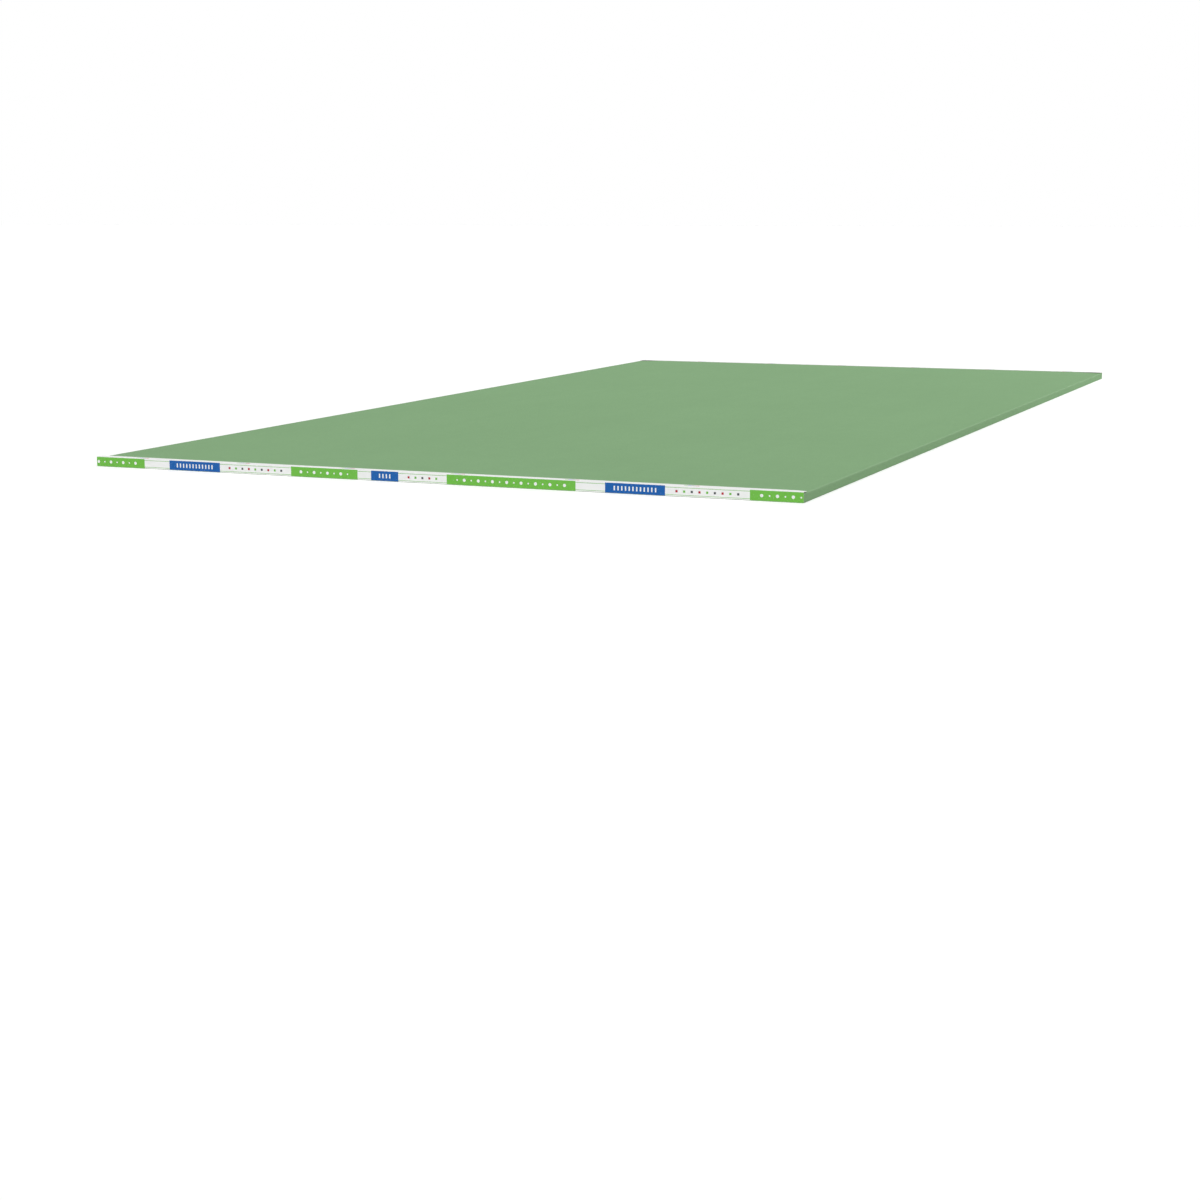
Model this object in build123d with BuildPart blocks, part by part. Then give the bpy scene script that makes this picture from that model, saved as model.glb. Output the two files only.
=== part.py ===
"""Drywall sheet: a gypsum board in moisture-resistant green paper, lying face up.

The board is one cast piece. Its two long edges are tapered on the face side and bound in
paper, and its two ends are sawn square. A printed paper tape is folded over each end. It
covers the end's face and laps onto the board's face.

Millimetres. The origin is at the middle of the underside. +X runs across the width to the
right, +Y along the length to the rear end, and +Z up through the thickness to the face.
"""

from build123d import *
import os

# Board, nominal 5/8 in thick, 4 ft wide and 8 ft long
sheet_thickness = 15.875
sheet_width = 1219.2
sheet_length = 2438.4

# Tapered long edges
taper_width = 63.5  # from the long edge to where the face is at its full height
taper_depth = 1.9  # how far the face has dropped at the long edge
face_arris_radius = 2.0  # the paper's turn from the face onto the long edge
back_arris_radius = 1.0  # the paper's tighter turn from the long edge onto the back

# End tape, folded over the end's upper arris
tape_thickness = 0.25
tape_lap = 16.0  # from the end, in over the face
tape_cut_height = 0.6  # knife cut along the lower edge, clear of the underside

half_width = sheet_width / 2
half_length = sheet_length / 2
edge_height = sheet_thickness - taper_depth
end_y = -half_length  # the front end's face
tape_top = sheet_thickness + tape_thickness

# The section is drawn for the right half and mirrored. The back is flat, and the face
# slopes down to the long edge over the width of the taper.
with BuildPart() as drywall_sheet:
    with BuildSketch(Plane.XZ) as section:
        with BuildLine():
            Polyline(
                (0, 0),
                (half_width, 0),
                (half_width, edge_height),
                (half_width - taper_width, sheet_thickness),
                (0, sheet_thickness),
                close=True,
            )
        make_face()
        edge_corners = section.vertices().group_by(Axis.X)[-1].sort_by(Axis.Y)
        fillet(edge_corners[0], radius=back_arris_radius)
        edge_corners = section.vertices().group_by(Axis.X)[-1].sort_by(Axis.Y)
        fillet(edge_corners[-1], radius=face_arris_radius)
        mirror(about=Plane.YZ)
    extrude(amount=half_length, both=True)
drywall_sheet.part.label = "drywall_sheet"

# The tape runs straight from long edge to long edge at the board's full thickness, so its
# lap bridges the tapers.
with BuildPart() as front_end_tape:
    with BuildSketch(Plane.YZ) as tape_profile:
        with BuildLine():
            Polyline(
                (end_y, tape_cut_height),
                (end_y, sheet_thickness),
                (end_y + tape_lap, sheet_thickness),
                (end_y + tape_lap, tape_top),
                (end_y - tape_thickness, tape_top),
                (end_y - tape_thickness, tape_cut_height),
                close=True,
            )
        make_face()
        fold_corner = tape_profile.vertices().group_by(Axis.X)[0].sort_by(Axis.Y)[-1]
        fillet(fold_corner, radius=tape_thickness)
    extrude(amount=half_width, both=True)
front_end_tape.part.label = "front_end_tape"

with BuildPart() as rear_end_tape:
    mirror(front_end_tape.part, about=Plane.XZ)
rear_end_tape.part.label = "rear_end_tape"

os.makedirs("parts", exist_ok=True)
export_step(drywall_sheet.part, "parts/drywall_sheet.step")
export_step(front_end_tape.part, "parts/front_end_tape.step")
export_step(rear_end_tape.part, "parts/rear_end_tape.step")
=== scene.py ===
import logging
import math
from collections.abc import Callable, Iterable
from dataclasses import dataclass, field
from enum import Enum
from functools import reduce

import bmesh
import bpy
from mathutils import Matrix, Vector


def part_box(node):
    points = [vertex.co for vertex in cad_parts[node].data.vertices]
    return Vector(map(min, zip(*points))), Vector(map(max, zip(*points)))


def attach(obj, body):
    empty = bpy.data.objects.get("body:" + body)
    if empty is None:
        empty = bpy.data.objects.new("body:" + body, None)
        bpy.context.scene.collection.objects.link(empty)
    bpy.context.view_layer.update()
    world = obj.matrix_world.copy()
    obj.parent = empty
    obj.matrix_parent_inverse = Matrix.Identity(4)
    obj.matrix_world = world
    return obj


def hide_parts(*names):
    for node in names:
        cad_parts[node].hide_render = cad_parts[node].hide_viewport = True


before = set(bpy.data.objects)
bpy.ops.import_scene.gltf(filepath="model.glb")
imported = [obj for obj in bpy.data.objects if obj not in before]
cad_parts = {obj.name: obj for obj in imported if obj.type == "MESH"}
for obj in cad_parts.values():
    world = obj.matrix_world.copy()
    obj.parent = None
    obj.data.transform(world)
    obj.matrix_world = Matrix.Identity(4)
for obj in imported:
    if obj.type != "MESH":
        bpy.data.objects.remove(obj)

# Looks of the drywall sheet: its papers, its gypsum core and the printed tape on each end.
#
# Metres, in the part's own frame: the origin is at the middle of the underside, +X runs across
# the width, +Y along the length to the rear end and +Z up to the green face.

log = logging.getLogger("drywall_sheet")

Channels = tuple[int, int, int]
Colour = tuple[float, float, float, float]
Size = tuple[float, float, float]
Material = bpy.types.Material
Node = bpy.types.Node
Piece = bpy.types.Object
Socket = bpy.types.NodeSocket

# The display curve of sRGB: a straight part up to a knee, and a power beyond it.
SRGB_KNEE = 0.04045
SRGB_SLOPE = 12.92
SRGB_OFFSET = 0.055
SRGB_POWER = 2.4

# The Mix node's factor and two values by number, because all its types name them alike.
MIX_NUMBERS = (0, 2, 3)
MIX_COLOURS = (0, 6, 7)
MIX_COLOUR_OUT = 2

# The middle of what a Noise texture gives.
MIDDLE = 0.5


def mm(length: float) -> float:
    """Turn millimetres into metres."""
    return length / 1000.0


def even(length: float) -> Size:
    """The same length, in millimetres, along all three axes."""
    return (mm(length), mm(length), mm(length))


def srgb(channels: Channels) -> Colour:
    """Turn a display colour into the linear colour that shaders take.

    Args:
        channels: Red, green and blue, from 0 to 255.

    Returns:
        The linear colour with alpha 1.
    """
    linear = []
    for channel in channels:
        value = channel / 255.0
        curved = ((value + SRGB_OFFSET) / (1.0 + SRGB_OFFSET)) ** SRGB_POWER
        linear.append(value / SRGB_SLOPE if value <= SRGB_KNEE else curved)
    return (linear[0], linear[1], linear[2], 1.0)


class End(Enum):
    """An end of the sheet, with the sign of its outward direction along Y."""

    FRONT = -1
    REAR = 1


class Ink(Enum):
    """The colours on the end tape, as they are displayed."""

    BARE = (240, 241, 240)
    GREEN = (112, 186, 72)
    BLUE = (22, 94, 169)
    CHARCOAL = (77, 80, 84)
    RED = (176, 32, 50)

    @property
    def colour(self) -> Colour:
        """The ink's linear colour."""
        return srgb(self.value)


class Mark(Enum):
    """The small marks that run along a block of the tape's print."""

    NONE = "none"
    DOTS = "dots"
    BARS = "bars"
    SWATCHES = "swatches"


class Graph:
    """Adds nodes to one material, world or node group and joins them."""

    def __init__(self, tree: bpy.types.NodeTree) -> None:
        """Start on a tree, whose nodes stay as they are."""
        self.tree = tree

    @classmethod
    def cleared(cls, owner: Material | bpy.types.World) -> "Graph":
        """Start on a material or world without its own first nodes.

        Args:
            owner: The material or world.

        Returns:
            The graph of its empty tree.
        """
        owner.use_nodes = True
        owner.node_tree.nodes.clear()
        return cls(owner.node_tree)

    def add(self, kind: str, inputs: dict[str | int, object] | None = None,
            **settings: object) -> Node:
        """Add a node.

        Args:
            kind: The node's type, without its ShaderNode prefix.
            inputs: What fills its inputs, by name or number: another node's output, or a
                number, vector or colour.
            **settings: Properties of the node, by name.

        Returns:
            The new node.
        """
        prefix = "" if kind.startswith("NodeGroup") else "ShaderNode"
        node = self.tree.nodes.new(prefix + kind)
        for name, value in settings.items():
            setattr(node, name, value)
        for name, value in (inputs or {}).items():
            if isinstance(value, Socket):
                self.tree.links.new(value, node.inputs[name])
            else:
                node.inputs[name].default_value = value
        return node

    def math(self, operation: str, *values: object) -> Socket:
        """Add a Math node, which takes sockets or numbers in order."""
        return self.add("Math", dict(enumerate(values)), operation=operation).outputs[0]

    def chain(self, operation: str, values: Iterable[object]) -> Socket:
        """Join values, from the first on, by Math nodes of one operation."""
        return reduce(lambda total, value: self.math(operation, total, value), values)

    def within(self, value: Socket, middle: float, reach: float) -> Socket:
        """Mask where a value is no further than reach from middle."""
        return self.math("COMPARE", value, middle, reach)

    def ramp_up(self, value: Socket, start: float, end: float) -> Socket:
        """Rise smoothly from 0 to 1, or fall where the end is the lower one.

        Args:
            value: What the ramp follows.
            start: The value at which the ramp is 0.
            end: The value at which the ramp is 1.

        Returns:
            The ramp.
        """
        low, high = (0.0, 1.0) if start < end else (1.0, 0.0)
        span = {"From Min": min(start, end), "From Max": max(start, end), "To Min": low, "To Max": high}
        node = self.add("MapRange", {"Value": value, **span}, interpolation_type="SMOOTHSTEP")
        return node.outputs["Result"]

    def blend(self, factor: object, first: object, second: object) -> Socket:
        """Go from a first number to a second by a factor of 0 to 1."""
        inputs = dict(zip(MIX_NUMBERS, (factor, first, second)))
        return self.add("Mix", inputs, data_type="FLOAT").outputs[0]

    def mix(self, factor: object, first: object, second: object, blend: str = "MIX") -> Socket:
        """Mix two colours.

        Args:
            factor: How much of the second colour shows, a socket or a number.
            first: The colour at factor 0.
            second: The colour at factor 1.
            blend: The Mix node's blend type.

        Returns:
            The mixed colour.
        """
        inputs = dict(zip(MIX_COLOURS, (factor, first, second)))
        node = self.add("Mix", inputs, data_type="RGBA", blend_type=blend)
        return node.outputs[MIX_COLOUR_OUT]

    def split(self, vector: Socket) -> Node:
        """Split a vector, whose parts are the node's outputs X, Y and Z."""
        return self.add("SeparateXYZ", {"Vector": vector})

    def measured(self, vector: Socket, size: Size, turn: float) -> Socket:
        """Measure coordinates in a pattern's features, turned about Z by turn in degrees."""
        inputs = {"Vector": vector, "Rotation": (0.0, 0.0, math.radians(turn)), "Scale": size}
        return self.add("Mapping", inputs, vector_type="TEXTURE").outputs["Vector"]

    def noise(self, vector: Socket, size: Size, detail: float = 2.0, turn: float = 0.0,
              output: str = "Fac") -> Socket:
        """Add a Noise texture.

        Args:
            vector: Coordinates in metres.
            size: Size of one feature along each axis.
            detail: Octaves.
            turn: How far the pattern is turned about Z, in degrees.
            output: Fac for one number, or Color for three.

        Returns:
            The noise, mostly from 0.3 to 0.7.
        """
        place = self.measured(vector, size, turn)
        inputs = {"Vector": place, "Scale": 1.0, "Detail": detail}
        return self.add("TexNoise", inputs, noise_dimensions="3D").outputs[output]

    def scatter(self, vector: Socket, size: Size, turn: float = 0.0) -> tuple[Socket, Node]:
        """Scatter points, one to a cell.

        Args:
            vector: Coordinates in metres.
            size: Size of a cell along each axis.
            turn: How far the cells are turned about Z, in degrees.

        Returns:
            The distance to the nearest point, in cells, and a node whose outputs Red, Green and
            Blue are random numbers of that point.
        """
        inputs = {"Vector": self.measured(vector, size, turn), "Scale": 1.0}
        texture = self.add("TexVoronoi", inputs, feature="F1")
        chance = self.add("SeparateColor", {"Color": texture.outputs["Color"]})
        return texture.outputs["Distance"], chance


@dataclass(frozen=True)
class FibreLayer:
    """Matted fibres that lie near one direction: their size, and the direction in degrees."""

    width: float
    length: float
    angle: float

    @property
    def size(self) -> Size:
        """The size of one fibre along each axis."""
        return (self.width, self.length, self.width)

    def tone(self, graph: Graph, vector: Socket) -> Socket:
        """Noise of the fibres' size."""
        return graph.noise(vector, self.size, turn=self.angle)


@dataclass(frozen=True)
class HairLayer(FibreLayer):
    """Loose hairs in paper, each in a cell of its size, and how many cells hold one."""

    share: float
    core: float = 0.2
    rim: float = 0.42

    def mask(self, graph: Graph, vector: Socket) -> Socket:
        """Mask the hairs.

        Args:
            graph: The group's graph.
            vector: Coordinates in metres.

        Returns:
            The mask, soft at each hair's rim.
        """
        distance, chance = graph.scatter(vector, self.size, self.angle)
        chosen = graph.math("LESS_THAN", chance.outputs["Red"], self.share)
        return graph.math("MULTIPLY", graph.ramp_up(distance, self.rim, self.core), chosen)


@dataclass(frozen=True)
class PaperGrain:
    """The node group of paper: clouds of tone, matted fibres, loose hairs and pulp specks."""

    name: str = "paper_grain"
    wide_cloud: Size = even(310.0)
    near_cloud: Size = even(29.0)
    streak: Size = (mm(38.0), mm(1100.0), mm(38.0))
    cloud_shares: tuple[float, float, float] = (0.45, 0.3, 0.25)
    cloud_detail: float = 3.0
    fibres: tuple[FibreLayer, FibreLayer, FibreLayer] = (
        FibreLayer(mm(1.0), mm(5.5), 9.0),
        FibreLayer(mm(0.9), mm(4.4), -33.0),
        FibreLayer(mm(0.9), mm(3.6), 61.0),
    )
    pulp: Size = even(0.42)
    pulp_share: float = 0.3
    pulp_detail: float = 1.0
    mat_middle: float = 0.55
    bend: Size = even(3.3)
    bend_detail: float = 1.0
    bend_reach: float = mm(1.6)
    dark_hair: HairLayer = HairLayer(mm(0.26), mm(5.0), 14.0, share=0.10)
    pale_hairs: tuple[HairLayer, HairLayer] = (
        HairLayer(mm(0.24), mm(4.2), -24.0, share=0.16),
        HairLayer(mm(0.22), mm(3.4), 68.0, share=0.12),
    )
    hair_tone: float = 0.6
    hair_height: float = 0.25
    speck: Size = (mm(3.2), mm(4.2), mm(3.2))
    speck_growth: float = 0.2
    speck_power: float = 2.0
    speck_rim: float = 0.1

    def lay(self, graph: Graph, vector: Socket, clouds: float, fibres: float,
            specks: object) -> Node:
        """Lay the grain into a material.

        Args:
            graph: The material's graph.
            vector: Coordinates in metres.
            clouds: How strongly tone changes over the sheet.
            fibres: How strongly tone changes from fibre to fibre.
            specks: The share of cells that hold a speck, a number or a socket.

        Returns:
            The group's node, with the outputs Tone, Height, Dark and Pale.
        """
        tree = bpy.data.node_groups.get(self.name) or self.make()
        inputs = {"Vector": vector, "Clouds": clouds, "Fibres": fibres, "Specks": specks}
        return graph.add("Group", inputs, node_tree=tree)

    def make(self) -> bpy.types.NodeTree:
        """Build the group.

        Returns:
            The group's tree.
        """
        tree = bpy.data.node_groups.new(self.name, "ShaderNodeTree")
        sockets = tree.interface
        sockets.new_socket("Vector", in_out="INPUT", socket_type="NodeSocketVector")
        for name in ("Clouds", "Fibres", "Specks"):
            sockets.new_socket(name, in_out="INPUT", socket_type="NodeSocketFloat")
        for name in ("Tone", "Height", "Dark", "Pale"):
            sockets.new_socket(name, in_out="OUTPUT", socket_type="NodeSocketFloat")
        graph = Graph(tree)
        given = graph.add("NodeGroupInput").outputs

        bent = self.bent(graph, given["Vector"])
        mat = self.mat(graph, bent)
        clouds = graph.math("MULTIPLY", self.clouds(graph, given["Vector"]), given["Clouds"])
        made = {"Tone": graph.math("MULTIPLY_ADD", mat, given["Fibres"], clouds)}

        pale_hair = graph.chain("MAXIMUM", (layer.mask(graph, bent) for layer in self.pale_hairs))
        dark_speck, pale_speck = self.specks(graph, bent, given["Specks"])
        for name, hair, speck in (("Dark", self.dark_hair.mask(graph, bent), dark_speck),
                                  ("Pale", pale_hair, pale_speck)):
            faint = graph.math("MULTIPLY", hair, self.hair_tone)
            made[name] = graph.math("MAXIMUM", faint, speck)
        raised = graph.math("MULTIPLY", pale_hair, self.hair_height)
        made["Height"] = graph.chain("ADD", (raised, mat, MIDDLE))
        graph.add("NodeGroupOutput", made)
        return tree

    def clouds(self, graph: Graph, vector: Socket) -> Socket:
        """Change the tone slowly over the sheet, with streaks along the paper machine.

        Args:
            graph: The group's graph.
            vector: Coordinates in metres.

        Returns:
            The tone, above and below 0.
        """
        sizes = (self.wide_cloud, self.near_cloud, self.streak)
        parts = (graph.math("MULTIPLY", graph.noise(vector, size, self.cloud_detail), share)
                 for size, share in zip(sizes, self.cloud_shares))
        return graph.math("SUBTRACT", graph.chain("ADD", parts), MIDDLE)

    def mat(self, graph: Graph, vector: Socket) -> Socket:
        """Mat fine fibres, most of them near the direction of the paper machine.

        Args:
            graph: The group's graph.
            vector: Coordinates in metres.

        Returns:
            The tone and height of the mat, above and below 0.
        """
        matted = graph.chain("MAXIMUM", (layer.tone(graph, vector) for layer in self.fibres))
        pulp = graph.noise(vector, self.pulp, self.pulp_detail)
        return graph.math("SUBTRACT", graph.blend(self.pulp_share, matted, pulp), self.mat_middle)

    def bent(self, graph: Graph, vector: Socket) -> Socket:
        """Bend coordinates, so that hairs curl and specks lose their round outline.

        Args:
            graph: The group's graph.
            vector: Coordinates in metres.

        Returns:
            The bent coordinates.
        """
        push = graph.noise(vector, self.bend, self.bend_detail, output="Color")
        inputs = {0: push, 1: (self.bend_reach,) * 3, 2: vector}
        return graph.add("VectorMath", inputs, operation="MULTIPLY_ADD").outputs[0]

    def specks(self, graph: Graph, vector: Socket, share: Socket) -> tuple[Socket, Socket]:
        """Mask specks of pulp of many sizes.

        Args:
            graph: The group's graph.
            vector: Coordinates in metres.
            share: The share of cells that hold a dark speck, and of those that hold a pale one.

        Returns:
            The masks of the dark and of the pale specks.
        """
        distance, chance = graph.scatter(vector, self.speck)
        spread = graph.math("POWER", chance.outputs["Blue"], self.speck_power)
        radius = graph.math("MULTIPLY", spread, self.speck_growth)
        spot = graph.ramp_up(graph.math("SUBTRACT", distance, radius), self.speck_rim, 0.0)
        dark = graph.math("LESS_THAN", chance.outputs["Red"], share)
        pale = graph.math("LESS_THAN", chance.outputs["Green"], share)
        return graph.math("MULTIPLY", spot, dark), graph.math("MULTIPLY", spot, pale)


@dataclass(frozen=True)
class Paper:
    """A paper's colour, the colours of its hairs and specks, and how strongly its tone varies."""

    colour: Channels
    dark: Channels
    pale: Channels
    tone: float
    specks: float

    def tint(self, graph: Graph, grain: Node) -> Socket:
        """Colour the paper by its grain.

        Args:
            graph: The material's graph.
            grain: The node of the paper's grain.

        Returns:
            The paper's colour.
        """
        brightness = graph.math("MULTIPLY_ADD", grain.outputs["Tone"], self.tone, 1.0)
        grey = graph.add("CombineColor", dict.fromkeys(("Red", "Green", "Blue"), brightness))
        colour = graph.mix(1.0, srgb(self.colour), grey.outputs["Color"], "MULTIPLY")
        colour = graph.mix(grain.outputs["Dark"], colour, srgb(self.dark))
        return graph.mix(grain.outputs["Pale"], colour, srgb(self.pale))


FACE_PAPER = Paper((131, 167, 124), (118, 150, 113), (149, 182, 144), tone=0.16, specks=0.05)
BACK_PAPER = Paper((171, 160, 142), (128, 117, 100), (196, 188, 172), tone=0.3, specks=0.12)
TAPE_PAPER = Paper((240, 241, 240), (230, 231, 230), (243, 244, 243), tone=0.04, specks=0.02)


@dataclass(frozen=True)
class Surface:
    """How a finish takes the light: its gloss, and the strength and depth of its grain."""

    name: str
    specular: float
    strength: float
    depth: float

    def start(self) -> tuple[Material, Graph]:
        """Start an empty material, and give it with its graph."""
        material = bpy.data.materials.new(self.name)
        return material, Graph.cleared(material)

    def finish(self, graph: Graph, colour: Socket, roughness: Socket, height: Socket) -> None:
        """Join a finish to the shader.

        Args:
            graph: The material's graph.
            colour: Colour over the surface.
            roughness: Roughness over the surface.
            height: Height of the grain.
        """
        bump = graph.add("Bump", {"Strength": self.strength, "Distance": self.depth, "Height": height})
        shader = graph.add("BsdfPrincipled", {
            "Base Color": colour, "Roughness": roughness, "Normal": bump.outputs["Normal"],
            "Specular IOR Level": self.specular})
        graph.add("OutputMaterial", {"Surface": shader.outputs["BSDF"]})


@dataclass(frozen=True)
class BoardFinish:
    """The board's surface: green paper on its face and long edges, back paper and gypsum.

    Each pair of scuff distances says where the scuffing and its painted highlight begin and where they
    are full.
    """

    half_width: float
    thickness: float
    surface: Surface = Surface("board_paper_and_gypsum", specular=0.06, strength=0.35,
                               depth=mm(0.12))
    clouds: float = 1.0
    fibres: float = 3.6
    flap: float = mm(28.0)
    seam_wave: Size = even(110.0)
    seam_waver: float = mm(1.6)
    seam_edge: float = mm(0.3)
    back_step: float = 2.0
    scuff_and_highlight_from_side: tuple[float, float] = (mm(3.2), mm(0.8))
    scuff_and_highlight_from_face: tuple[float, float] = (mm(5.5), mm(2.75))
    # The lighter colour of the long arrises: scuffed paper and a painted highlight.
    scuff_and_highlight: Channels = (176, 201, 171)
    scuff_and_highlight_strength: float = 0.12
    paper_thickness: float = mm(0.35)
    gypsum: Channels = (233, 230, 223)
    gypsum_shade: Channels = (214, 210, 201)
    # The air voids' darker colour is painted shade in the hollows.
    void_painted_shade: Channels = (186, 181, 170)
    void: Size = even(1.1)
    void_rim: float = 0.34
    void_core: float = 0.2
    chalk: Size = even(6.2)
    chalk_detail: float = 4.0
    facing: float = 0.7
    roughness: float = 0.8
    roughness_rise: float = 0.12

    def material(self) -> Material:
        """Build the material from the place and the direction of each point of the surface.

        Returns:
            The board's material.
        """
        material, graph = self.surface.start()
        where = graph.add("TexCoord").outputs
        point = where["Object"]
        place = graph.split(point).outputs
        normal = graph.split(where["Normal"]).outputs
        from_middle = graph.math("ABSOLUTE", place["X"])

        on_back = self.on_back(graph, point, from_middle, normal["Z"])
        specks = graph.blend(on_back, FACE_PAPER.specks, BACK_PAPER.specks)
        grain = PaperGrain().lay(graph, point, self.clouds, self.fibres, specks)
        relief = grain.outputs["Height"]
        face = self.scuff_and_highlight_arris(graph, FACE_PAPER.tint(graph, grain), from_middle, place["Z"])
        colour = graph.mix(on_back, face, BACK_PAPER.tint(graph, grain))
        height = graph.math("MULTIPLY_ADD", on_back, self.back_step, relief)

        core = self.on_core(graph, place["Z"], normal["Y"])
        gypsum, gypsum_height = self.sawn_gypsum(graph, point)
        colour = graph.mix(core, colour, gypsum)
        height = graph.blend(core, height, gypsum_height)
        roughness = graph.math("MULTIPLY_ADD", relief, self.roughness_rise, self.roughness)
        self.surface.finish(graph, colour, roughness, height)
        return material

    def on_back(self, graph: Graph, point: Socket, from_middle: Socket,
                facing_up: Socket) -> Socket:
        """Mask the back paper, whose long edges lie on the flaps of the green paper.

        Args:
            graph: The material's graph.
            point: Coordinates in metres.
            from_middle: Distance from the middle of the width.
            facing_up: How far the surface faces up.

        Returns:
            The mask.
        """
        under = graph.math("LESS_THAN", facing_up, -self.facing)
        waver = graph.noise(point, self.seam_wave)
        seam = graph.math("MULTIPLY_ADD", waver, self.seam_waver, from_middle)
        inner = self.half_width - self.flap
        return graph.math("MULTIPLY", under, graph.ramp_up(seam, inner, inner - self.seam_edge))

    def scuff_and_highlight_arris(self, graph: Graph, colour: Socket, from_middle: Socket,
                    height: Socket) -> Socket:
        """Lighten the paper a little where it turns over the face's long arrises, as scuffing and as a
        painted highlight.

        Args:
            graph: The material's graph.
            colour: The paper's colour.
            from_middle: Distance from the middle of the width.
            height: Height over the underside.

        Returns:
            The colour, scuffed and with its painted highlight.
        """
        side, side_full = (self.half_width - reach for reach in self.scuff_and_highlight_from_side)
        face, face_full = (self.thickness - reach for reach in self.scuff_and_highlight_from_face)
        near_side = graph.ramp_up(from_middle, side, side_full)
        near_face = graph.ramp_up(height, face, face_full)
        # Lighten the arrises: partly scuffing, partly a painted highlight.
        amount = graph.chain("MULTIPLY", (near_side, near_face, self.scuff_and_highlight_strength))
        return graph.mix(amount, colour, srgb(self.scuff_and_highlight))

    def on_core(self, graph: Graph, height: Socket, facing_rear: Socket) -> Socket:
        """Mask the core on a sawn end, between the two papers' edges.

        Args:
            graph: The material's graph.
            height: Height over the underside.
            facing_rear: How far the surface faces the rear.

        Returns:
            The mask.
        """
        sawn = graph.math("GREATER_THAN", graph.math("ABSOLUTE", facing_rear), self.facing)
        reach = self.thickness / 2 - self.paper_thickness
        return graph.math("MULTIPLY", sawn, graph.within(height, self.thickness / 2, reach))

    def sawn_gypsum(self, graph: Graph, point: Socket) -> tuple[Socket, Socket]:
        """Colour the sawn gypsum, with painted shade in its small air voids.

        Args:
            graph: The material's graph.
            point: Coordinates in metres.

        Returns:
            The gypsum's colour and height.
        """
        distance, _ = graph.scatter(point, self.void)
        void = graph.ramp_up(distance, self.void_rim, self.void_core)
        tone = graph.noise(point, self.chalk, self.chalk_detail)
        colour = graph.mix(tone, srgb(self.gypsum), srgb(self.gypsum_shade))
        # Darken the voids with painted shade; the height below sinks them too.
        colour = graph.mix(void, colour, srgb(self.void_painted_shade))
        return colour, graph.math("SUBTRACT", tone, void)


@dataclass(frozen=True)
class Block:
    """One stretch of the tape's print: its ink, its length in cells and its marks."""

    ink: Ink
    cells: int
    mark: Mark = Mark.NONE


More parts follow.
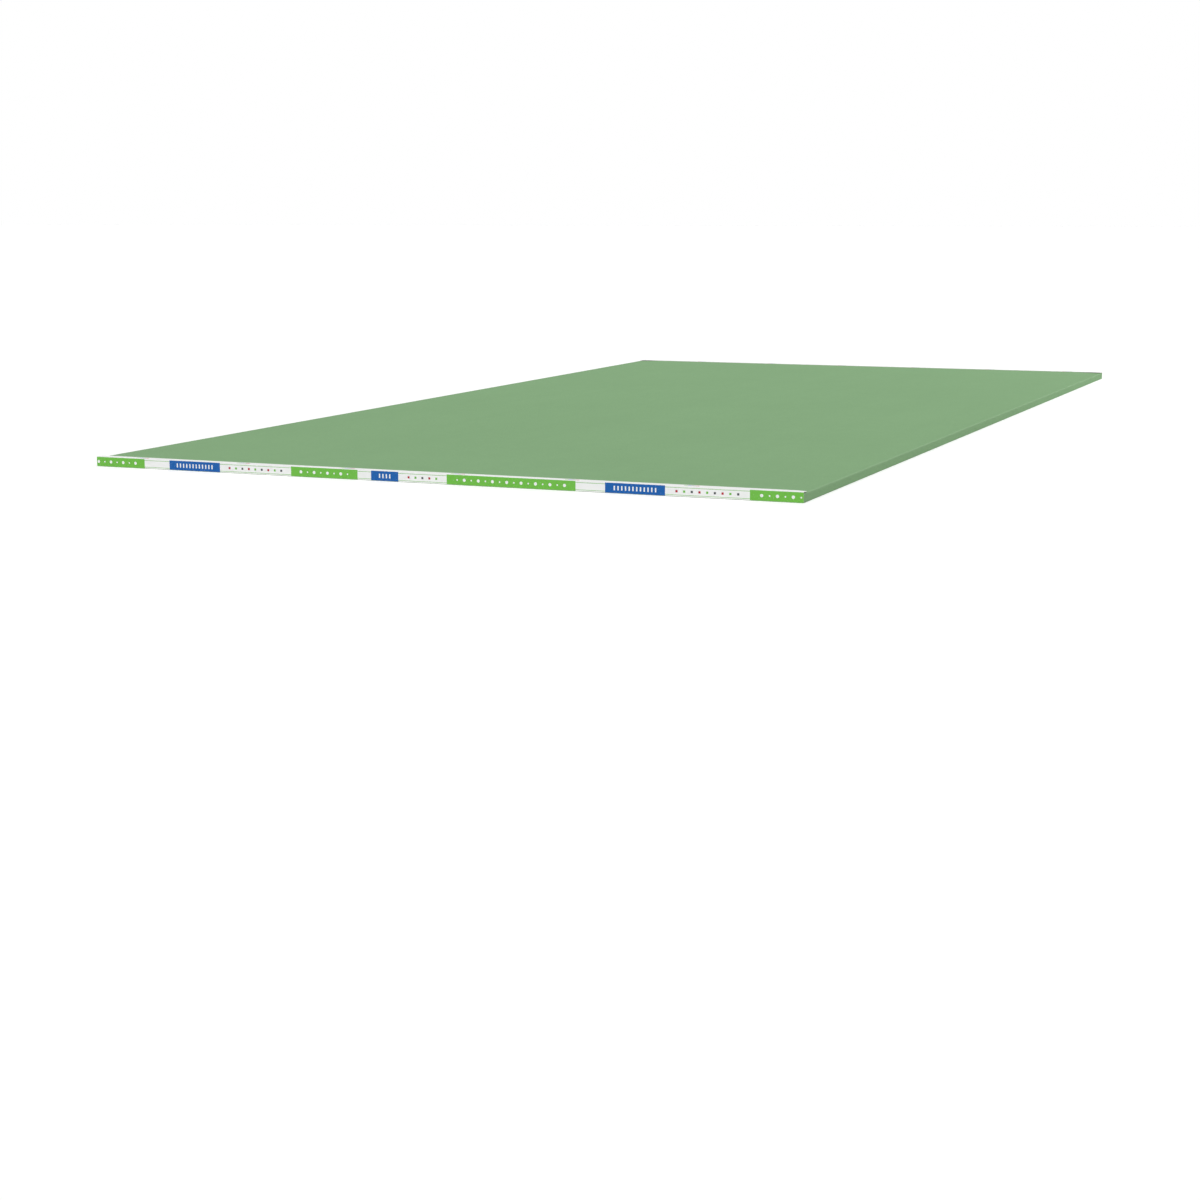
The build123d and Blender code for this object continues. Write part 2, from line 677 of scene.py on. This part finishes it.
@dataclass
class TapePrint:
    """The tape's print as it is laid over one material: plain blocks, rules and small marks.

    It repeats along the roll. Its blocks are whole cells long, so that no mark is cut at a
    block's end. Along and up are distances along the tape and up from its lower edge, turn is
    the distance along one repeat, and from_row the height over the middle of the row of marks.
    Colour is what has been printed so far, at first the bare paper.
    """

    graph: Graph
    along: Socket
    up: Socket
    colour: Socket
    fold_at: float
    turn: Socket = field(init=False)
    from_row: Socket = field(init=False)
    cell: float = mm(12.0)
    cells_before: float = 10.2
    blocks: tuple[Block, ...] = (
        Block(Ink.GREEN, 18, Mark.DOTS),
        Block(Ink.BARE, 4),
        Block(Ink.BLUE, 8, Mark.BARS),
        Block(Ink.BARE, 11, Mark.SWATCHES),
        Block(Ink.GREEN, 10, Mark.DOTS),
        Block(Ink.BARE, 2),
        Block(Ink.BLUE, 4, Mark.BARS),
        Block(Ink.BARE, 7, Mark.SWATCHES),
    )
    row_height: float = mm(7.4)
    large_dot: float = mm(2.5)
    small_dot: float = mm(1.3)
    bar_width: float = mm(2.2)
    bar_height: float = mm(6.6)
    swatch: float = mm(3.4)
    swatch_inks: tuple[Ink, ...] = (Ink.CHARCOAL, Ink.RED, Ink.GREEN)
    rule_width: float = mm(0.7)
    rule_heights: tuple[float, float] = (mm(1.9), mm(12.9))
    fold_clear: float = mm(0.25)
    patch_cells: int = 16
    patch_length: float = mm(6.0)
    patch_width: float = mm(4.0)
    patch_inks: tuple[Ink, ...] = (Ink.GREEN, Ink.BLUE, Ink.CHARCOAL, Ink.RED)
    patch_up: float = mm(8.0)

    def __post_init__(self) -> None:
        """Measure the distance along one repeat, and the height over the row of marks."""
        repeat = self.cell * sum(block.cells for block in self.blocks)
        shifted = self.graph.math("ADD", self.along, self.cell * self.cells_before)
        self.turn = self.graph.math("FLOORED_MODULO", shifted, repeat)
        self.from_row = self.graph.math("SUBTRACT", self.up, self.row_height)

    def stretches(self, wanted: Ink | Mark) -> list[tuple[float, float]]:
        """Find where an ink or a mark runs.

        Args:
            wanted: The ink or the mark, which keeps one cell clear of its block's ends.

        Returns:
            The start and the end of each stretch along one repeat.
        """
        found = []
        start = 0.0
        for block in self.blocks:
            end = start + block.cells * self.cell
            if block.ink is wanted:
                found.append((start, end))
            if block.mark is wanted:
                found.append((start + self.cell, end - self.cell))
            start = end
        return found

    def mask(self, wanted: Ink | Mark) -> Socket:
        """Mask where an ink or a mark runs along the tape.

        Args:
            wanted: The ink or the mark.

        Returns:
            The mask.
        """
        spans = (self.graph.within(self.turn, (start + end) / 2, (end - start) / 2)
                 for start, end in self.stretches(wanted))
        return self.graph.chain("MAXIMUM", spans)

    def from_mark(self, pitch: float, start: float = 0.0) -> Socket:
        """Measure along the tape from the nearest mark of a row, half a cell from its start.

        Args:
            pitch: Distance from mark to mark.
            start: Where the row starts in a repeat.

        Returns:
            The distance, below 0 before the mark.
        """
        shifted = self.graph.math("SUBTRACT", self.turn, start)
        place = self.graph.math("FLOORED_MODULO", shifted, pitch)
        return self.graph.math("SUBTRACT", place, min(self.cell, pitch) / 2)

    def dots(self) -> Socket:
        """Mask a row of dots left bare in its blocks, a large and a small one by turns.

        Returns:
            The mask.
        """
        graph = self.graph
        rise = graph.math("MULTIPLY", self.from_row, self.from_row)
        dots = []
        for radius, start in ((self.large_dot, 0.0), (self.small_dot, self.cell)):
            side = self.from_mark(self.cell * 2, start)
            squares = graph.math("MULTIPLY_ADD", side, side, rise)
            dots.append(graph.math("LESS_THAN", squares, radius ** 2))
        return graph.math("MULTIPLY", self.mask(Mark.DOTS), graph.chain("MAXIMUM", dots))

    def bars(self) -> Socket:
        """Mask a row of upright bars left bare in its blocks, two to a cell.

        Returns:
            The mask.
        """
        side = self.graph.within(self.from_mark(self.cell / 2), 0.0, self.bar_width / 2)
        level = self.graph.within(self.from_row, 0.0, self.bar_height / 2)
        return self.graph.chain("MULTIPLY", (side, level, self.mask(Mark.BARS)))

    def lay(self, ink: Ink, mask: Socket) -> None:
        """Print an ink where the mask is 1."""
        self.colour = self.graph.mix(mask, self.colour, ink.colour)

    def blocks_of_ink(self) -> Socket:
        """Print the blocks below the fold, with their dots and bars left bare.

        Returns:
            A mask of where there is ink.
        """
        graph = self.graph
        marks = graph.math("MAXIMUM", self.dots(), self.bars())
        off_lap = graph.math("LESS_THAN", self.up, self.fold_at - self.fold_clear)
        open_field = graph.math("SUBTRACT", off_lap, marks)
        inked = []
        for ink in (Ink.GREEN, Ink.BLUE):
            block = graph.math("MULTIPLY", self.mask(ink), open_field)
            inked.append(graph.math("MAXIMUM", block, 0.0))
            self.lay(ink, inked[-1])
        return graph.chain("MAXIMUM", inked)

    def swatches(self) -> None:
        """Print a row of small squares on bare paper, in one ink after another."""
        level = self.graph.within(self.from_row, 0.0, self.swatch / 2)
        shown = self.graph.math("MULTIPLY", self.mask(Mark.SWATCHES), level)
        pitch = self.cell * len(self.swatch_inks)
        for number, ink in enumerate(self.swatch_inks):
            side = self.from_mark(pitch, self.cell * number)
            across = self.graph.within(side, 0.0, self.swatch / 2)
            self.lay(ink, self.graph.math("MULTIPLY", shown, across))

    def rules(self) -> None:
        """Print two fine green rules along the stretches without a block of ink."""
        bare = self.mask(Ink.BARE)
        for height in self.rule_heights:
            line = self.graph.within(self.up, height, self.rule_width / 2)
            self.lay(Ink.GREEN, self.graph.math("MULTIPLY", bare, line))

    def patches(self) -> None:
        """Print the press's small ink patches now and then along the lap."""
        place = self.graph.math("FLOORED_MODULO", self.turn, self.cell * self.patch_cells)
        level = self.graph.within(self.up, self.fold_at + self.patch_up, self.patch_width / 2)
        for number, ink in enumerate(self.patch_inks, start=1):
            patch = self.graph.within(place, self.patch_length * number, self.patch_length / 2)
            self.lay(ink, self.graph.math("MULTIPLY", level, patch))

    def paint(self) -> tuple[Socket, Socket]:
        """Print the whole pattern.

        Returns:
            The printed colour, and a mask of where there is ink.
        """
        inked = self.blocks_of_ink()
        self.swatches()
        self.rules()
        self.patches()
        return self.colour, inked


@dataclass(frozen=True, kw_only=True)
class TapeFinish:
    """The tape's paper, which both of its finishes start from."""

    surface: Surface
    clouds: float = 0.5
    fibres: float = 1.0

    def paper(self, graph: Graph, point: Socket) -> tuple[Socket, Socket]:
        """Lay the paper, and give its colour and its height."""
        grain = PaperGrain().lay(graph, point, self.clouds, self.fibres, TAPE_PAPER.specks)
        return TAPE_PAPER.tint(graph, grain), grain.outputs["Height"]


@dataclass(frozen=True, kw_only=True)
class PrintedTapeFinish(TapeFinish):
    """Coated white paper printed on its outside, read from the tape's own roll map."""

    fold_at: float
    roll_map: str
    surface: Surface = Surface("printed_tape", specular=0.2, strength=0.18, depth=mm(0.05))
    bleed: Size = even(0.7)
    bleed_reach: float = mm(0.4)
    starved: Size = even(1.6)
    starved_detail: float = 3.0
    starved_ramp: tuple[float, float] = (0.6, 0.72)
    starved_strength: float = 0.18
    crack: Size = (mm(3.8), mm(38.0), mm(38.0))
    crack_detail: float = 3.0
    crack_ramp: tuple[float, float] = (0.46, 0.6)
    crack_rim: float = mm(0.4)
    crack_core: float = crack_rim / 3
    crack_and_highlight_strength: float = 0.35
    # The colour along the fold: bared paper and a painted highlight, lighter than the bare paper.
    bared_and_highlight: Channels = (246, 246, 243)
    paper_roughness: float = 0.58
    ink_roughness: float = 0.48

    def material(self) -> Material:
        """Build the material, whose ink bleeds a little, starves in spots and cracks at the fold, with
        a painted highlight along the fold.

        Returns:
            The material of the tape's outside.
        """
        material, graph = self.surface.start()
        roll = graph.split(graph.add("UVMap", uv_map=self.roll_map).outputs["UV"])
        point = graph.add("TexCoord").outputs["Object"]
        bleed = graph.math("SUBTRACT", graph.noise(point, self.bleed), MIDDLE)
        along, up = (graph.math("MULTIPLY_ADD", bleed, self.bleed_reach, roll.outputs[axis])
                     for axis in ("X", "Y"))

        paper, height = self.paper(graph, point)
        printed, inked = TapePrint(graph, along, up, paper, self.fold_at).paint()
        spots = graph.noise(point, self.starved, self.starved_detail)
        starved = graph.ramp_up(spots, *self.starved_ramp)
        printed = graph.mix(graph.math("MULTIPLY", starved, self.starved_strength), printed, paper)
        # The fold's broken line is partly cracked print and partly a painted highlight.
        fold_crack_and_highlight = self.cracked_and_highlit_fold(graph, roll.outputs["Y"], point)
        printed = graph.mix(fold_crack_and_highlight, printed, srgb(self.bared_and_highlight))
        roughness = graph.blend(inked, self.paper_roughness, self.ink_roughness)
        self.surface.finish(graph, printed, roughness, height)
        return material

    def cracked_and_highlit_fold(self, graph: Graph, up: Socket, point: Socket) -> Socket:
        """Mask the broken line along the fold where the print cracks and a painted highlight lies.

        Args:
            graph: The material's graph.
            up: Distance across the tape from its lower edge, in metres.
            point: Coordinates in metres.

        Returns:
            The mask.
        """
        off_fold = graph.math("ABSOLUTE", graph.math("SUBTRACT", up, self.fold_at))
        line = graph.ramp_up(off_fold, self.crack_rim, self.crack_core)
        broken = graph.ramp_up(graph.noise(point, self.crack, self.crack_detail), *self.crack_ramp)
        return graph.chain("MULTIPLY", (line, broken, self.crack_and_highlight_strength))


@dataclass(frozen=True, kw_only=True)
class RawTapeFinish(TapeFinish):
    """The tape's unprinted inside and its cut edges."""

    surface: Surface = Surface("raw_tape_paper", specular=0.2, strength=0.4, depth=mm(0.06))
    cream: Channels = (240, 236, 226)
    roughness: float = 0.82
    roughness_rise: float = 0.1

    def material(self) -> Material:
        """Build the material.

        Returns:
            The material of the tape's inside and edges.
        """
        material, graph = self.surface.start()
        paper, height = self.paper(graph, graph.add("TexCoord").outputs["Object"])
        colour = graph.mix(1.0, paper, srgb(self.cream), "MULTIPLY")
        roughness = graph.math("MULTIPLY_ADD", height, self.roughness_rise, self.roughness)
        self.surface.finish(graph, colour, roughness, height)
        return material


@dataclass
class Board:
    """The cast board, whose shape comes from the frame."""

    node: str = "drywall_sheet"
    slot: str = "sheet"
    low: Vector = field(init=False)
    high: Vector = field(init=False)

    def __post_init__(self) -> None:
        """Take the board's corners from the frame."""
        self.low, self.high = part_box(self.node)

    def dress(self) -> Piece:
        """Give the board its papers and gypsum.

        Returns:
            The board's object.
        """
        finish = BoardFinish(half_width=self.high.x, thickness=self.high.z)
        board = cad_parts[self.node]
        board.data.materials.clear()
        board.data.materials.append(finish.material())
        return board


@dataclass
class EndTape:
    """The printed paper tape on one end of the board.

    It is modelled as it comes off the roll, flat and out past the end, and then folded down.
    """

    end: End
    board: Board
    lap: float = mm(16.0)
    thickness: float = mm(0.23)
    glue_gap: float = mm(0.02)
    cut_height: float = mm(0.6)
    segments: int = 192
    fold_radius: float = mm(0.12)
    fold_segments: int = 2
    fold_rows: float = mm(0.8)
    cut_rows: tuple[float, float] = (mm(1.0), mm(5.0))
    lap_edge_row: float = mm(2.0)
    ripple: float = mm(0.12)
    ripple_size: float = mm(38.0)
    knife_waver: float = mm(0.4)
    waver_size: float = mm(9.0)
    corner_droop: float = mm(0.5)
    droop_reach: float = mm(15.0)
    touch: float = mm(0.05)
    smooth_angle: float = 35.0
    outside_facing: float = 0.3
    slot: str = "end_tape"
    roll_map: str = "roll"
    strip: Piece = field(init=False)

    @property
    def name(self) -> str:
        """Name of the new piece."""
        return f"{self.end.name.lower()}_tape_strip"

    @property
    def node(self) -> str:
        """Name of the solid that the piece stands for."""
        return f"{self.end.name.lower()}_end_tape"

    @property
    def outward(self) -> int:
        """Sign of the direction out of the board along Y."""
        return self.end.value

    @property
    def fold_y(self) -> float:
        """Where the strip folds, along Y."""
        edge = self.board.high.y if self.end is End.REAR else self.board.low.y
        return edge + self.outward * self.glue_gap

    @property
    def fold_z(self) -> float:
        """Height of the fold."""
        return self.board.high.z + self.glue_gap

    @property
    def leg(self) -> float:
        """Height of the strip on the end's face, from the knife cut to the fold."""
        return self.fold_z - self.cut_height

    @property
    def outer_y(self) -> float:
        """Where the knife cut lies along Y while the strip is still flat."""
        return self.fold_y + self.outward * self.leg

    def build(self) -> None:
        """Model the strip, undressed."""
        self.lay_one_segment()
        self.repeat_segments()
        self.map_roll()
        self.group_edges()
        self.fold_down()
        self.droop_corners()
        self.roughen()
        self.thicken()

    def lay_one_segment(self) -> None:
        """Lay the leftmost segment flat at face level, cut into rows across the tape."""
        bpy.ops.object.select_all(action="DESELECT")
        bpy.ops.mesh.primitive_plane_add(size=1.0, enter_editmode=True, location=(0, 0, 0))
        self.strip = bpy.context.object
        self.strip.name = self.name
        self.strip.data.name = self.name
        width = (self.board.high.x - self.board.low.x) / self.segments
        depth = self.lap + self.leg
        middle_x = self.board.low.x + width / 2
        middle_y = self.outer_y - self.outward * depth / 2
        bpy.ops.transform.resize(value=(width, depth, 1.0), center_override=(0, 0, 0))
        bpy.ops.transform.translate(value=(middle_x, middle_y, self.fold_z))
        rows = [0.0, -self.fold_rows, self.fold_rows, self.leg / 2]
        rows += [self.leg - row for row in self.cut_rows]
        rows += [-self.lap / 2, self.lap_edge_row - self.lap]
        for distance in rows:
            bpy.ops.mesh.select_all(action="SELECT")
            row_y = self.fold_y + self.outward * distance
            bpy.ops.mesh.bisect(plane_co=(0, row_y, 0), plane_no=(0, 1, 0))
        bpy.ops.object.mode_set(mode="OBJECT")

    def repeat_segments(self) -> None:
        """Repeat the segment across the width and join the copies."""
        array = self.strip.modifiers.new("segments", "ARRAY")
        array.count = self.segments
        array.relative_offset_displace = (1.0, 0.0, 0.0)
        array.use_merge_vertices = True
        array.merge_threshold = self.touch
        bpy.ops.object.modifier_apply(modifier=array.name)

    def map_roll(self) -> None:
        """Write each point's place on the flat roll: along it, and up from the cut edge.

        Seen from outside the sheet, the roll runs from left to right on both ends.
        """
        mesh = self.strip.data
        while mesh.uv_layers:
            mesh.uv_layers.remove(mesh.uv_layers[0])
        layer = mesh.uv_layers.new(name=self.roll_map)
        for loop in mesh.loops:
            point = mesh.vertices[loop.vertex_index].co
            along = self.board.high.x - self.outward * point.x
            layer.data[loop.index].uv = (along, abs(self.outer_y - point.y))

    def find(self, test: Callable[[Vector], bool]) -> list[int]:
        """Number the strip's vertices whose place passes a test."""
        return [vertex.index for vertex in self.strip.data.vertices if test(vertex.co)]

    def meets(self, first: float, second: float) -> bool:
        """Tell whether two places are one, as near as the mesh is made."""
        return abs(first - second) < self.touch

    def group_edges(self) -> None:
        """Name the vertices of the knife cut and those off the fold, while they are easy to find."""
        cut = self.find(lambda place: self.meets(place.y, self.outer_y))
        self.strip.vertex_groups.new(name="knife_cut").add(cut, 1.0, "REPLACE")
        free = self.find(lambda place: not self.meets(place.y, self.fold_y))
        self.strip.vertex_groups.new(name="off_fold").add(free, 1.0, "REPLACE")

    def select(self, chosen: list[int]) -> None:
        """Select some vertices of the strip and nothing else, in edit mode.

        Args:
            chosen: The vertices' numbers.
        """
        bpy.ops.object.mode_set(mode="EDIT")
        bpy.ops.mesh.select_mode(type="VERT")
        bpy.ops.mesh.select_all(action="DESELECT")
        edit = bmesh.from_edit_mesh(self.strip.data)
        edit.verts.ensure_lookup_table()
        for index in chosen:
            edit.verts[index].select = True
        edit.select_flush_mode()
        bmesh.update_edit_mesh(self.strip.data)

    def fold_down(self) -> None:
        """Fold the leg down over the end and round the fold."""
        self.select(self.find(lambda place: self.outward * (place.y - self.fold_y) > self.touch))
        bpy.ops.transform.rotate(value=self.outward * math.pi / 2, orient_axis="X",
                                 center_override=(0.0, self.fold_y, self.fold_z))
        bpy.ops.object.mode_set(mode="OBJECT")
        self.select(self.find(lambda place: self.meets(place.y, self.fold_y)
                              and self.meets(place.z, self.fold_z)))
        bpy.ops.mesh.bevel(offset=self.fold_radius, segments=self.fold_segments, affect="EDGES")
        bpy.ops.object.mode_set(mode="OBJECT")

    def droop_corners(self) -> None:
        """Let the lap's two inner corners sink a little over the tapers."""
        inner_y = self.fold_y - self.outward * self.lap
        inner = self.find(lambda place: self.meets(place.y, inner_y))
        for side in (self.board.low.x, self.board.high.x):
            self.select([number for number in inner
                         if self.meets(self.strip.data.vertices[number].co.x, side)])
            bpy.ops.transform.translate(
                value=(0.0, 0.0, -self.corner_droop), use_proportional_edit=True,
                proportional_edit_falloff="SMOOTH", proportional_size=self.droop_reach)
            bpy.ops.object.mode_set(mode="OBJECT")

    def roughen(self) -> None:
        """Give the paper its faint ripple, and the knife cut its waver."""
        for name, size, group, direction, strength in (
                ("ripple", self.ripple_size, "off_fold", "NORMAL", self.ripple),
                ("knife", self.waver_size, "knife_cut", "Z", self.knife_waver)):
            noise = bpy.data.textures.new(name, "CLOUDS")
            noise.noise_scale = size
            move = self.strip.modifiers.new(name, "DISPLACE")
            move.texture = noise
            move.texture_coords = "LOCAL"
            move.direction = direction
            move.strength = strength
            move.vertex_group = group
            bpy.ops.object.modifier_apply(modifier=move.name)
            bpy.data.textures.remove(noise)

    def thicken(self) -> None:
        """Give the paper its thickness, outwards from the board."""
        solid = self.strip.modifiers.new("paper", "SOLIDIFY")
        solid.thickness = self.thickness
        solid.offset = 1.0
        solid.use_even_offset = True
        bpy.ops.object.modifier_apply(modifier=solid.name)
        self.strip.vertex_groups.clear()
        bpy.ops.object.mode_set(mode="EDIT")
        bpy.ops.mesh.select_all(action="SELECT")
        bpy.ops.mesh.normals_make_consistent(inside=False)
        bpy.ops.object.mode_set(mode="OBJECT")
        bpy.ops.object.shade_smooth_by_angle(angle=math.radians(self.smooth_angle))

    def dress(self, printed: Material, raw: Material) -> Piece:
        """Print the outside, leave the inside and the cut edges raw, and mount the piece.

        Args:
            printed: Material of the outside.
            raw: Material of the inside and the edges.

        Returns:
            The finished strip.
        """
        strip = self.strip
        strip.data.materials.clear()
        strip.data.materials.append(printed)
        strip.data.materials.append(raw)
        for face in strip.data.polygons:
            outside = max(face.normal.z, self.outward * face.normal.y) > self.outside_facing
            face.material_index = 0 if outside else 1
        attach(strip, "root")
        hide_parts(self.node)
        return strip


@dataclass
class Studio:
    """The pale floor and the plain soft light."""

    floor_size: float = 80.0
    floor_drop: float = mm(0.2)
    floor_colour: Channels = (243, 243, 243)
    floor_glow: float = 0.18
    sky_colour: Channels = (255, 255, 255)
    sky_light: float = 0.34
    sky_shown: float = 1.0
    shown_rays: tuple[str, ...] = ("Camera", "Glossy", "Transmission")
    lamp_power: float = 2.15
    lamp_towards: Size = (0.155, -0.49, 0.858)
    lamp_distance: float = 6.0
    lamp_softness: float = 32.0
    fill_power: float = 40.0
    fill_place: Size = (3.0, 3.2, 0.8)
    fill_size: float = 1.4

    def build(self) -> None:
        """Make the floor, the world and the two lamps."""
        self.lay_floor()
        self.light_world()
        self.hang_lamp()
        self.stand_fill()

    def seen(self, graph: Graph) -> Socket:
        """Mask the rays that show the background, straight or through gloss and glass."""
        rays = graph.add("LightPath").outputs
        return graph.chain("MAXIMUM", (rays[f"Is {kind} Ray"] for kind in self.shown_rays))

    def lay_floor(self) -> None:
        """Lay a wide pale floor a hair below the sheet, which keeps the sheet's shadow."""
        bpy.ops.object.select_all(action="DESELECT")
        bpy.ops.mesh.primitive_plane_add(size=self.floor_size, location=(0.0, 0.0, -self.floor_drop))
        floor = bpy.context.object
        floor.name = "studio_floor"
        material = bpy.data.materials.new("studio_floor")
        graph = Graph.cleared(material)
        glow = graph.math("MULTIPLY", self.seen(graph), self.floor_glow)
        matt = graph.add("BsdfDiffuse", {"Color": srgb(self.floor_colour)})
        white = graph.add("Emission", {"Strength": glow})
        both = graph.add("AddShader", {0: matt.outputs[0], 1: white.outputs[0]})
        graph.add("OutputMaterial", {"Surface": both.outputs[0]})
        floor.data.materials.append(material)

    def light_world(self) -> None:
        """Light from all round, and show white behind everything."""
        world = bpy.data.worlds.new("studio")
        bpy.context.scene.world = world
        graph = Graph.cleared(world)
        lit, shown = (
            graph.add("Background", {"Color": srgb(self.sky_colour), "Strength": strength})
            for strength in (self.sky_light, self.sky_shown))
        both = {0: self.seen(graph), 1: lit.outputs[0], 2: shown.outputs[0]}
        mixed = graph.add("MixShader", both)
        graph.add("OutputWorld", {"Surface": mixed.outputs[0]})

    def hang_lamp(self) -> None:
        """Hang one broad soft lamp high over the front, a little to the right."""
        towards = Vector(self.lamp_towards)
        bpy.ops.object.select_all(action="DESELECT")
        bpy.ops.object.light_add(type="SUN", location=towards * self.lamp_distance)
        lamp = bpy.context.object
        lamp.name = "soft_key"
        lamp.rotation_euler = towards.to_track_quat("Z", "Y").to_euler()
        lamp.data.energy = self.lamp_power
        lamp.data.angle = math.radians(self.lamp_softness)

    def stand_fill(self) -> None:
        """Stand a weak soft box low off the right rear corner, which lifts the far edge a little."""
        place = Vector(self.fill_place)
        bpy.ops.object.select_all(action="DESELECT")
        bpy.ops.object.light_add(type="AREA", location=place)
        lamp = bpy.context.object
        lamp.name = "soft_fill"
        lamp.rotation_euler = place.to_track_quat("Z", "Y").to_euler()
        lamp.data.energy = self.fill_power
        lamp.data.size = self.fill_size
        lamp.visible_camera = False


@dataclass
class PhotoCamera:
    """The camera at the photograph's viewing angle, with the sheet's face where it shows there."""

    azimuth: float = -67.225
    elevation: float = 10.345
    roll: float = -0.127
    place: Size = (1.532, -4.1741, 0.4217)
    focal_pixels: float = 2159.65
    image_pixels: int = 1200
    sensor: float = 36.0
    nearest: float = 0.05
    farthest: float = 200.0

    def build(self) -> None:
        """Make the camera and look through it."""
        data = bpy.data.cameras.new("photo_camera")
        data.sensor_width = self.sensor
        data.lens = self.sensor * self.focal_pixels / self.image_pixels
        data.clip_start = self.nearest
        data.clip_end = self.farthest
        camera = bpy.data.objects.new("photo_camera", data)
        bpy.context.scene.collection.objects.link(camera)
        turn = Matrix.Rotation(math.radians(self.azimuth + 90.0), 4, "Z")
        tilt = Matrix.Rotation(math.radians(90.0 - self.elevation), 4, "X")
        roll = Matrix.Rotation(math.radians(self.roll), 4, "Z")
        camera.matrix_world = Matrix.Translation(self.place) @ turn @ tilt @ roll
        bpy.context.scene.camera = camera


def report(piece: Piece) -> None:
    """Log a piece's name, faces and materials."""
    finishes = ", ".join(material.name for material in piece.data.materials)
    log.info("%s: %d faces, finish %s", piece.name, len(piece.data.polygons), finishes)


def main() -> None:
    """Build the looks in order: camera, studio, board, tapes."""
    logging.basicConfig(level=logging.INFO, format="%(name)s: %(message)s")
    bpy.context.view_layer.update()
    bpy.context.scene.view_settings.view_transform = "Standard"
    PhotoCamera().build()
    Studio().build()

    board = Board()
    report(board.dress())

    tapes = [EndTape(end, board) for end in End]
    printed = PrintedTapeFinish(fold_at=tapes[0].leg, roll_map=tapes[0].roll_map).material()
    raw = RawTapeFinish().material()
    for tape in tapes:
        tape.build()
        report(tape.dress(printed, raw))


if __name__ == "__main__":
    main()
